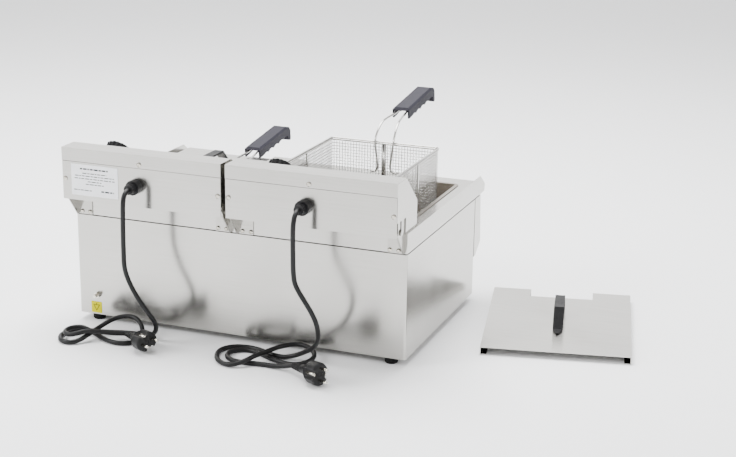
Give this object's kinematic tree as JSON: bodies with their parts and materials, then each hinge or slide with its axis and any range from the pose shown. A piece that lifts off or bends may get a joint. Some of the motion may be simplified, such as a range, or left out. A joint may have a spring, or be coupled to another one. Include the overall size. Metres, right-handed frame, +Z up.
{
  "type": "deep fryer",
  "caption": "Bench-top double electric deep fryer with side-by-side basins, tilting control heads, lift-out wire baskets and loose handled lids.",
  "frame": {"origin": "on the bench surface, under the middle of the box around everything except the cords, their coils and plugs", "axes": "+X to the operator's right, +Y to the rear where the control heads and cords are, +Z up"},
  "size_m": [0.94, 0.6789, 0.355],
  "materials": {
    "sheet_steel": "satin brushed stainless sheet",
    "bracket_steel": "satin stainless sheet",
    "basin_steel": "matt pressed stainless, seen in shade",
    "element_steel": "dull oxidised sheath",
    "wire_steel": "bright plated wire",
    "bright_steel": "bright zinc plated",
    "black_plastic": "satin black",
    "gland_plastic": "satin dark grey",
    "grip_plastic": "satin dark grey",
    "rubber": "matt black",
    "cord_rubber": "matt black",
    "label_silver": "printed foil label",
    "label_yellow": "printed vinyl label"
  },
  "bodies": {
    "housing": {"body_shell": "sheet_steel", "front_fascia": "sheet_steel", "deck_tray": "sheet_steel", "basin_L": "basin_steel", "foot_front_L": "rubber", "foot_rear_L": "rubber", "basin_R": "basin_steel", "foot_front_R": "rubber", "foot_rear_R": "rubber", "bonding_stud": "bright_steel", "bonding_label": "label_yellow", "bracket_L_plus": "bracket_steel", "bracket_screw_L_plus_1": "bright_steel", "bracket_screw_L_plus_2": "bright_steel", "bracket_L_minus": "bracket_steel", "bracket_screw_L_minus_1": "bright_steel", "bracket_screw_L_minus_2": "bright_steel", "bracket_R_plus": "bracket_steel", "bracket_screw_R_plus_1": "bright_steel", "bracket_screw_R_plus_2": "bright_steel", "bracket_R_minus": "bracket_steel", "bracket_screw_R_minus_1": "bright_steel", "bracket_screw_R_minus_2": "bright_steel", "cord_L": "cord_rubber", "cord_R": "cord_rubber", "cord_coil_L": "cord_rubber", "cord_coil_R": "cord_rubber", "plug_L": "cord_rubber", "plug_R": "cord_rubber"},
    "head_L": {"head_L_case": "sheet_steel", "head_L_top_cover": "sheet_steel", "head_L_rear_cover": "sheet_steel", "head_L_screw_top": "bright_steel", "head_L_screw_plus": "bright_steel", "head_L_screw_minus": "bright_steel", "thermostat_L": "element_steel", "heating_element_L": "element_steel", "gland_L": "gland_plastic", "rating_label": "label_silver"},
    "head_R": {"head_R_case": "sheet_steel", "head_R_top_cover": "sheet_steel", "head_R_rear_cover": "sheet_steel", "head_R_screw_top": "bright_steel", "head_R_screw_plus": "bright_steel", "head_R_screw_minus": "bright_steel", "thermostat_R": "element_steel", "heating_element_R": "element_steel", "gland_R": "gland_plastic"},
    "knob_L": {"knob_L": "black_plastic"},
    "basket_L": {"basket_L_mesh": "wire_steel", "basket_L_frame": "wire_steel", "basket_L_grip": "grip_plastic"},
    "lid_L": {"lid_L": "sheet_steel", "lid_L_handle": "black_plastic"},
    "knob_R": {"knob_R": "black_plastic"},
    "basket_R": {"basket_R_mesh": "wire_steel", "basket_R_frame": "wire_steel", "basket_R_grip": "grip_plastic"},
    "lid_R": {"lid_R": "sheet_steel", "lid_R_handle": "black_plastic"}
  },
  "joints": [
    {"name": "head_tilt_L", "type": "hinge", "parent": "housing", "child": "head_L", "pos_m": [0.31802, 0.25123, 0.232], "axis": [-1, 0, 0], "range_deg": [0, 75], "deforming": ["cord_L"]},
    {"name": "knob_turn_L", "type": "hinge", "parent": "head_L", "child": "knob_L", "pos_m": [0.40202, 0.20703, 0.292], "axis": [0, -0.6671, 0.745], "range_deg": [-270, 0]},
    {"name": "head_tilt_R", "type": "hinge", "parent": "housing", "child": "head_R", "pos_m": [0.01702, 0.25123, 0.232], "axis": [-1, 0, 0], "range_deg": [0, 75], "deforming": ["cord_R"]},
    {"name": "knob_turn_R", "type": "hinge", "parent": "head_R", "child": "knob_R", "pos_m": [0.10102, 0.20703, 0.292], "axis": [0, -0.6671, 0.745], "range_deg": [-270, 0]},
    {"name": "basket_lift_L", "type": "slide", "parent": "head_L", "child": "basket_L", "axis": [0, 0, 1], "range_m": [0, 0.25]},
    {"name": "basket_lift_R", "type": "slide", "parent": "head_R", "child": "basket_R", "axis": [0, 0, 1], "range_m": [0, 0.2]},
    {"name": "lid_lift_L", "type": "slide", "parent": "basket_L", "child": "lid_L", "axis": [0, -0.9023, 0.4311], "range_m": [0, 0.3]},
    {"name": "lid_lift_R", "type": "slide", "parent": "housing", "child": "lid_R", "axis": [0, 0, 1], "range_m": [0, 0.3]}
  ]
}
